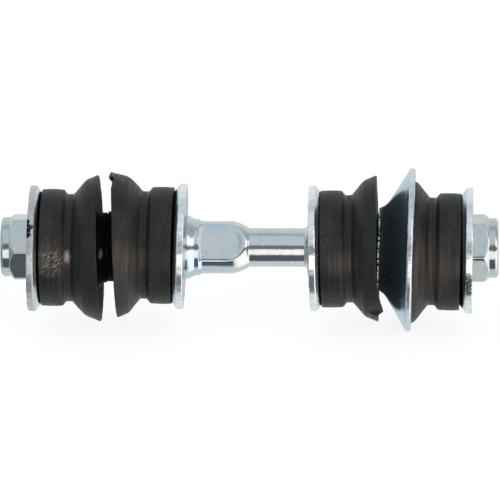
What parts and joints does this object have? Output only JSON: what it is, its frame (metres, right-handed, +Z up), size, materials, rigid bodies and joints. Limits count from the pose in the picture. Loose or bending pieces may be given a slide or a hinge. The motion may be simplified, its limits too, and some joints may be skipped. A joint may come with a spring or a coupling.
{
  "type": "stabilizer link",
  "caption": "Straight stabilizer link: a zinc-plated rod with wrench flats and threaded ends that carry flared rubber bushes, dished washers, a trumpet dish and lock nuts.",
  "frame": {"origin": "on the rod's axis at the link's mid-length", "axes": "+X along the rod, from the end with the wrench flats to the end with the dish; +Z up as the link is pictured"},
  "size_m": [0.1304, 0.0428, 0.0428],
  "materials": {
    "rod_zinc": "bright zinc plate, bluish passivation",
    "washer_zinc": "zinc plate with sheared edges",
    "dish_zinc": "bright zinc plate, bluish passivation",
    "nut_zinc": "bright zinc plate",
    "bush_rubber": "moulded black rubber",
    "nylon": "natural nylon"
  },
  "bodies": {
    "rod": {"link_rod": "rod_zinc"},
    "left_inner_washer": {"left_inner_washer": "washer_zinc"},
    "left_inner_bush": {"left_inner_bush": "bush_rubber"},
    "left_outer_bush": {"left_outer_bush": "bush_rubber"},
    "left_outer_washer": {"left_outer_washer": "washer_zinc"},
    "left_nut": {"left_nut": "nut_zinc", "left_nut_ring": "nylon"},
    "right_inner_washer": {"right_inner_washer": "washer_zinc"},
    "right_inner_bush": {"right_inner_bush": "bush_rubber"},
    "dish_washer": {"dish_washer": "dish_zinc"},
    "right_outer_bush": {"right_outer_bush": "bush_rubber"},
    "right_outer_washer": {"right_outer_washer": "washer_zinc"},
    "right_nut": {"right_nut": "nut_zinc", "right_nut_ring": "nylon"}
  },
  "joints": [
    {"name": "left_inner_washer_slide", "type": "slide", "parent": "rod", "child": "left_inner_washer", "axis": [-1, 0, 0], "range_m": [0, 0.00188]},
    {"name": "left_inner_bush_slide", "type": "slide", "parent": "rod", "child": "left_inner_bush", "axis": [-1, 0, 0], "range_m": [0, 0.00375]},
    {"name": "left_outer_bush_slide", "type": "slide", "parent": "rod", "child": "left_outer_bush", "axis": [-1, 0, 0], "range_m": [0, 0.00563]},
    {"name": "left_outer_washer_slide", "type": "slide", "parent": "rod", "child": "left_outer_washer", "axis": [-1, 0, 0], "range_m": [0, 0.0075]},
    {"name": "left_nut_turn", "type": "hinge", "parent": "left_outer_washer", "child": "left_nut", "pos_m": [-0.0604, 0, 0], "axis": [-1, 0, 0], "range_deg": [0, 2160]},
    {"name": "right_inner_washer_slide", "type": "slide", "parent": "rod", "child": "right_inner_washer", "axis": [1, 0, 0], "range_m": [0, 0.0015]},
    {"name": "right_inner_bush_slide", "type": "slide", "parent": "rod", "child": "right_inner_bush", "axis": [1, 0, 0], "range_m": [0, 0.003]},
    {"name": "dish_washer_slide", "type": "slide", "parent": "rod", "child": "dish_washer", "axis": [1, 0, 0], "range_m": [0, 0.0045]},
    {"name": "right_outer_bush_slide", "type": "slide", "parent": "rod", "child": "right_outer_bush", "axis": [1, 0, 0], "range_m": [0, 0.006]},
    {"name": "right_outer_washer_slide", "type": "slide", "parent": "rod", "child": "right_outer_washer", "axis": [1, 0, 0], "range_m": [0, 0.0075]},
    {"name": "right_nut_turn", "type": "hinge", "parent": "right_outer_washer", "child": "right_nut", "pos_m": [0.0604, 0, 0], "axis": [1, 0, 0], "range_deg": [0, 2160]}
  ],
  "couplings": [
    {"joint": "left_inner_washer_slide", "follows": "left_nut_turn", "m_per_rad": 0.000049736},
    {"joint": "left_inner_bush_slide", "follows": "left_nut_turn", "m_per_rad": 0.000099472},
    {"joint": "left_outer_bush_slide", "follows": "left_nut_turn", "m_per_rad": 0.00014921},
    {"joint": "left_outer_washer_slide", "follows": "left_nut_turn", "m_per_rad": 0.00019894},
    {"joint": "right_inner_washer_slide", "follows": "right_nut_turn", "m_per_rad": 0.000039789},
    {"joint": "right_inner_bush_slide", "follows": "right_nut_turn", "m_per_rad": 0.000079577},
    {"joint": "dish_washer_slide", "follows": "right_nut_turn", "m_per_rad": 0.00011937},
    {"joint": "right_outer_bush_slide", "follows": "right_nut_turn", "m_per_rad": 0.00015915},
    {"joint": "right_outer_washer_slide", "follows": "right_nut_turn", "m_per_rad": 0.00019894}
  ]
}
